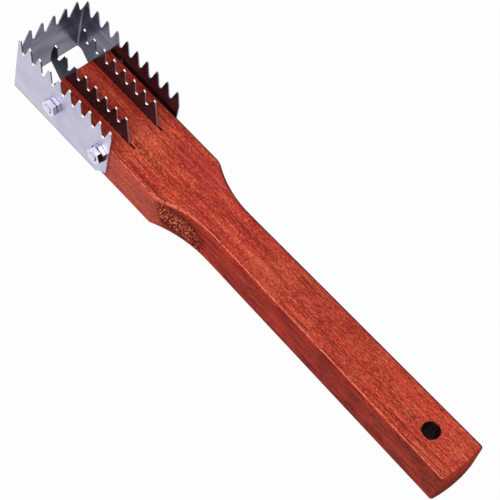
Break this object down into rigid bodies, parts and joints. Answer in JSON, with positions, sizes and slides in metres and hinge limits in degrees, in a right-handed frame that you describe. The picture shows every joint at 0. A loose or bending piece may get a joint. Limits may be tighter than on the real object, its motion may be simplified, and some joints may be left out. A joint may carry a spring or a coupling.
{
  "type": "fish scaler",
  "caption": "Wooden-handled fish scaler: a toothed steel band bent round the head, toothed blades seated in saw kerfs between its flanks, bolted across, with a hang hole.",
  "frame": {"origin": "on the axis of the hang hole, at the flat back face of the wooden handle", "axes": "+X from the handle towards the toothed head, +Y towards the flank that carries the nuts, +Z out of the flat back towards the teeth"},
  "size_m": [0.2509, 0.0437, 0.033],
  "materials": {
    "stained_wood": "red stain under thin satin lacquer",
    "band_steel": "satin bright sheet",
    "blade_steel": "bright sheet",
    "fastener_steel": "bright zinc plate"
  },
  "bodies": {
    "root": {"handle": "stained_wood", "toothed_band": "band_steel", "inner_blade_left": "blade_steel", "inner_blade_right": "blade_steel", "front_bolt": "fastener_steel", "rear_bolt": "fastener_steel", "front_inner_nut": "fastener_steel", "front_outer_nut": "fastener_steel", "rear_inner_nut": "fastener_steel", "rear_outer_nut": "fastener_steel"}
  },
  "joints": []
}
